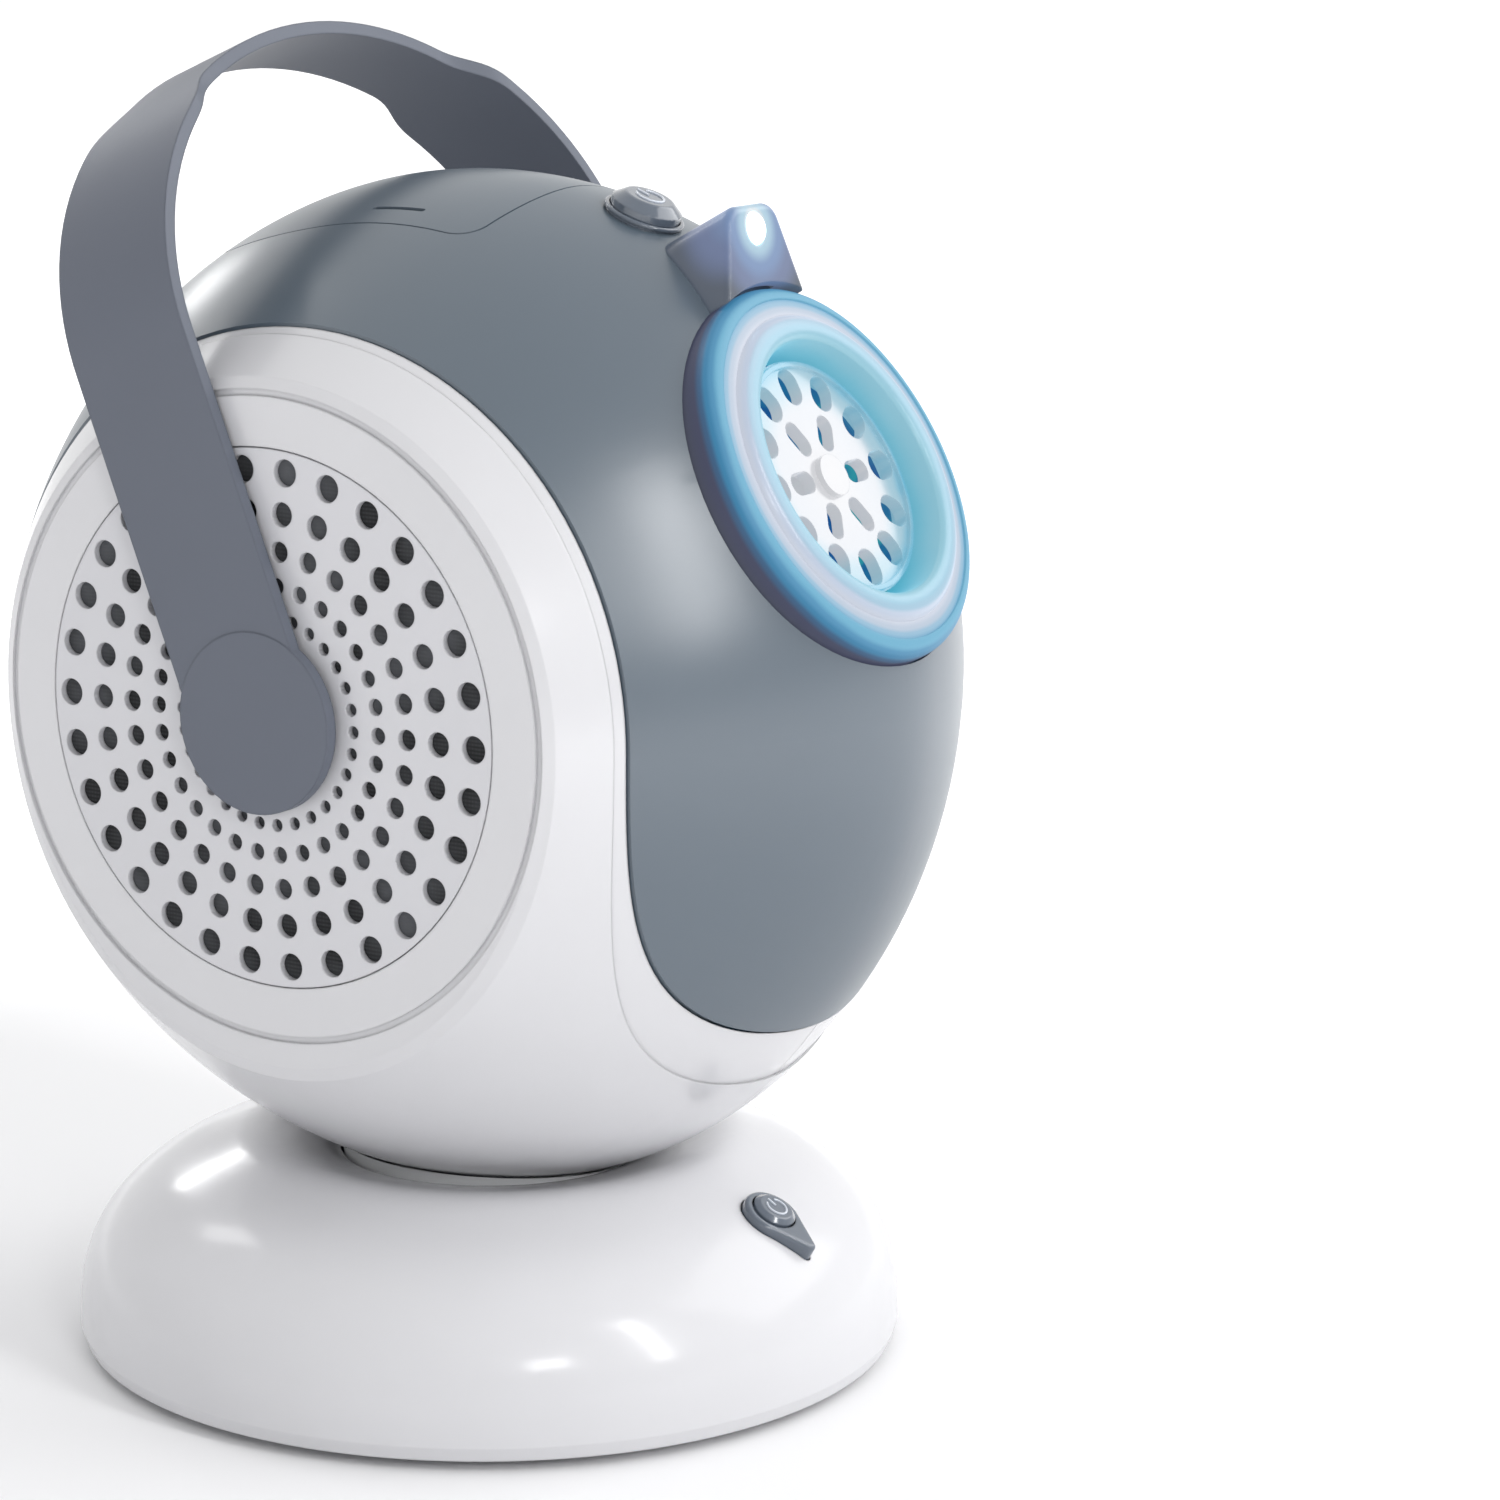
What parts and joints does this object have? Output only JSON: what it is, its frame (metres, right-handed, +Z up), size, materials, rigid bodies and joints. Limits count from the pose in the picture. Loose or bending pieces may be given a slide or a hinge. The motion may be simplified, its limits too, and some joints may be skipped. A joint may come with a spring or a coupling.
{
  "type": "bubble machine",
  "caption": "Round bubble machine: perforated side discs, tilted lit bubble nozzle, swinging carry handle and a swivelling domed base.",
  "frame": {"origin": "centre of the round base, on the surface that the feet stand on", "axes": "+Z up along the swivel axis; -Y towards the bubble nozzle; +X and -X through the perforated side discs and the handle's pivots"},
  "size_m": [0.165, 0.1937, 0.2603],
  "materials": {
    "white_shell": "glossy white moulded plastic",
    "grey_shell": "satin slate grey moulded plastic",
    "grey_handle": "satin slate grey moulded plastic",
    "button_cap": "glossy slate grey plastic",
    "light_diffuser": "translucent plastic lit cyan from behind",
    "white_plastic": "plain white plastic",
    "tank_plastic": "cloudy plastic",
    "base_underside": "fine textured white plastic",
    "rubber": "matt black rubber",
    "steel": "plated steel",
    "cell_wrap": "plain blue sleeve",
    "dust_cloth": "fine dark woven cloth",
    "circuit_board": "green lacquered board",
    "components": "black moulded components",
    "led": "lit light emitting diodes"
  },
  "bodies": {
    "base": {"base_shell": "white_shell", "base_cover": "base_underside", "battery_door": "base_underside", "battery_door_screw": "steel", "base_screws": "steel", "battery_cells": "cell_wrap", "battery_contacts": "steel", "rubber_feet": "rubber", "swivel_bearing": "white_plastic", "swivel_motor": "steel", "base_circuit_board": "circuit_board", "base_board_components": "components", "power_socket": "steel", "base_button_bezel": "grey_shell"},
    "head": {"air_duct": "white_plastic", "bubble_tank": "tank_plastic", "drip_tray": "white_plastic", "fan_bracket": "white_plastic", "fan_motor": "steel", "feed_hose": "rubber", "grille_cloths": "dust_cloth", "head_screws": "steel", "hood_lamp": "light_diffuser", "inner_cone": "white_shell", "led_board": "circuit_board", "left_grille": "white_shell", "left_pivot_bush": "white_plastic", "left_shell": "white_shell", "light_ring": "light_diffuser", "main_board_components": "components", "main_circuit_board": "circuit_board", "nozzle_hood": "grey_shell", "nozzle_ring": "grey_shell", "pump": "white_plastic", "right_grille": "white_shell", "right_pivot_bush": "white_plastic", "right_shell": "white_shell", "ring_leds": "led", "swivel_column": "white_plastic", "swivel_gear": "white_plastic", "tank_collar": "white_plastic", "top_button_bezel": "grey_shell", "top_circuit_board": "circuit_board", "top_cover": "grey_shell", "top_switch": "components", "wheel_carrier": "white_plastic", "wheel_motor": "steel"},
    "base_button": {"base_button": "button_cap"},
    "top_button": {"top_button": "button_cap"},
    "swivel_pinion": {"swivel_pinion": "white_plastic"},
    "bubble_wheel": {"bubble_wheel": "white_plastic"},
    "wheel_pinion": {"wheel_pinion": "white_plastic"},
    "fan": {"fan_impeller": "white_plastic"},
    "tank_lid": {"tank_lid": "grey_shell", "lid_seal": "rubber"},
    "handle": {"handle_strap": "grey_handle", "handle_pins": "steel", "handle_washers": "white_plastic"}
  },
  "joints": [
    {"name": "head_swivel", "type": "hinge", "parent": "base", "child": "head", "pos_m": [0, 0, 0.03], "axis": [0, 0, 1], "range_deg": [-90, 90]},
    {"name": "swivel_pinion_spin", "type": "hinge", "parent": "base", "child": "swivel_pinion", "pos_m": [0.031, 0, 0.026], "axis": [0, 0, 1], "range_deg": [-480, 480]},
    {"name": "handle_pivot", "type": "hinge", "parent": "head", "child": "handle", "pos_m": [0, 0, 0.138], "axis": [1, 0, 0], "range_deg": [-60, 110]},
    {"name": "top_button_press", "type": "slide", "parent": "head", "child": "top_button", "axis": [0, 0.3665, -0.9304], "range_m": [0, 0.0012], "stiffness_N_per_m": 800},
    {"name": "base_button_press", "type": "slide", "parent": "base", "child": "base_button", "axis": [0, 0.5, -0.866], "range_m": [0, 0.001], "stiffness_N_per_m": 800},
    {"name": "bubble_wheel_spin", "type": "hinge", "parent": "head", "child": "bubble_wheel", "pos_m": [0, -0.075, 0.18009], "axis": [0, -0.8721, 0.4894], "continuous": true},
    {"name": "wheel_pinion_spin", "type": "hinge", "parent": "head", "child": "wheel_pinion", "pos_m": [0.015, -0.06279, 0.17324], "axis": [0, -0.8721, 0.4894], "continuous": true},
    {"name": "fan_spin", "type": "hinge", "parent": "head", "child": "fan", "pos_m": [0, -0.03837, 0.15953], "axis": [0, -0.8721, 0.4894], "continuous": true},
    {"name": "tank_lid_lift", "type": "slide", "parent": "head", "child": "tank_lid", "axis": [0, 0, 1], "range_m": [0, 0.018]}
  ],
  "couplings": [
    {"joint": "swivel_pinion_spin", "follows": "head_swivel", "ratio": -5.2},
    {"joint": "wheel_pinion_spin", "follows": "bubble_wheel_spin", "ratio": -3}
  ]
}
